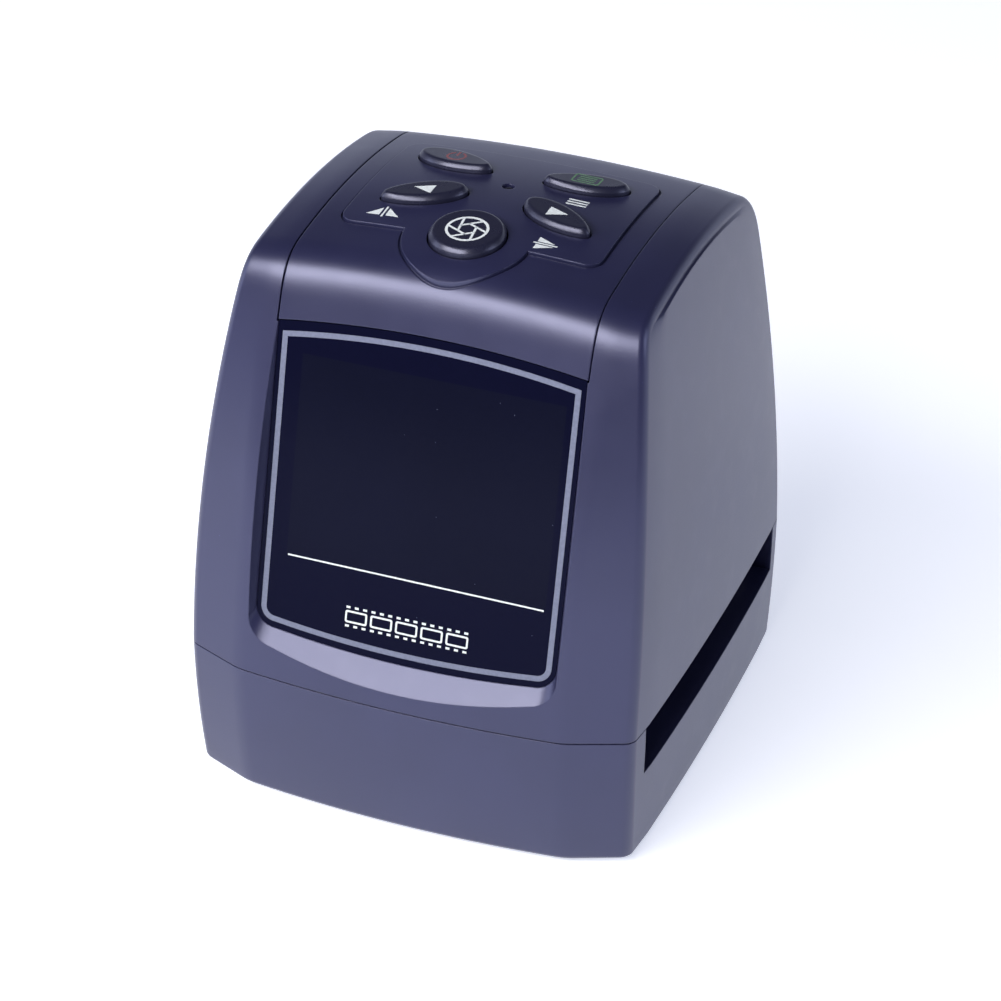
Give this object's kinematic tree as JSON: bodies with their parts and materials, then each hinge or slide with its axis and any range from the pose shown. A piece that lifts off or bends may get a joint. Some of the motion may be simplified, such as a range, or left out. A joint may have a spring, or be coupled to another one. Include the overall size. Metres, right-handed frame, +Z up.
{
  "type": "film negative scanner",
  "caption": "Desktop film scanner: a through channel for a film holder between a lit base and a camera housing, with a leaning display window and push buttons on the crown.",
  "frame": {"origin": "centre of the footprint, on the surface that the rubber feet stand on", "axes": "+X to the right seen from the display, +Y to the back, +Z up"},
  "size_m": [0.0874, 0.0896, 0.1075],
  "materials": {
    "satin_grey": "satin moulded plastic, fine spark texture",
    "window_black": "polished clear pane printed black behind",
    "button_black": "semi-gloss moulded plastic",
    "inner_black": "matt black moulded plastic",
    "rubber_black": "soft rubber",
    "zinc_steel": "zinc plated steel",
    "board_green": "solder mask",
    "opal_white": "opal white plastic",
    "clear_glass": "polished glass",
    "flex_amber": "polyimide film",
    "chip_black": "moulded epoxy"
  },
  "bodies": {
    "case": {"base_shell": "satin_grey", "bottom_cover": "satin_grey", "rubber_feet": "rubber_black", "cover_screws": "zinc_steel", "housing_screws": "zinc_steel", "backlight_housing": "opal_white", "backlight_board": "board_green", "backlight_leds": "opal_white", "diffuser_plate": "opal_white", "backlight_screws": "zinc_steel", "detent_springs": "zinc_steel", "camera_chassis": "inner_black", "chassis_screws": "zinc_steel", "camera_hood": "inner_black", "hood_screws": "zinc_steel", "lens_holder": "inner_black", "lens_barrel": "inner_black", "lens_front": "clear_glass", "lens_rear": "clear_glass", "image_sensor": "chip_black", "sensor_board": "board_green", "sensor_screws": "zinc_steel", "upper_housing": "satin_grey", "top_panel": "satin_grey", "rear_cover": "satin_grey", "display_window": "window_black", "display_module": "clear_glass", "display_tray": "zinc_steel", "main_board": "board_green", "main_board_screws": "zinc_steel", "processor": "chip_black", "memory_chips": "chip_black", "flex_connectors": "opal_white", "display_flex": "flex_amber", "sensor_flex": "flex_amber", "rear_flex": "flex_amber", "button_flex": "flex_amber", "backlight_cable": "flex_amber", "rear_board": "board_green", "rear_board_screws": "zinc_steel", "card_reader": "zinc_steel", "usb_socket": "zinc_steel", "video_jack": "inner_black", "button_board": "board_green", "button_board_screws": "zinc_steel", "switch_bodies": "zinc_steel", "status_light": "clear_glass"},
    "power_key": {"power_button": "button_black", "power_plunger": "inner_black"},
    "menu_key": {"menu_button": "button_black", "menu_plunger": "inner_black"},
    "left_key": {"left_button": "button_black", "left_plunger": "inner_black"},
    "right_key": {"right_button": "button_black", "right_plunger": "inner_black"},
    "scan_key": {"scan_button": "button_black", "scan_plunger": "inner_black"}
  },
  "joints": [
    {"name": "power_press", "type": "slide", "parent": "case", "child": "power_key", "axis": [0, 0, -1], "range_m": [0, 0.0005], "stiffness_N_per_m": 2500},
    {"name": "menu_press", "type": "slide", "parent": "case", "child": "menu_key", "axis": [0, 0, -1], "range_m": [0, 0.0005], "stiffness_N_per_m": 2500},
    {"name": "left_press", "type": "slide", "parent": "case", "child": "left_key", "axis": [0, 0, -1], "range_m": [0, 0.0005], "stiffness_N_per_m": 2500},
    {"name": "right_press", "type": "slide", "parent": "case", "child": "right_key", "axis": [0, 0, -1], "range_m": [0, 0.0005], "stiffness_N_per_m": 2500},
    {"name": "scan_press", "type": "slide", "parent": "case", "child": "scan_key", "axis": [0, 0, -1], "range_m": [0, 0.0005], "stiffness_N_per_m": 2500}
  ]
}
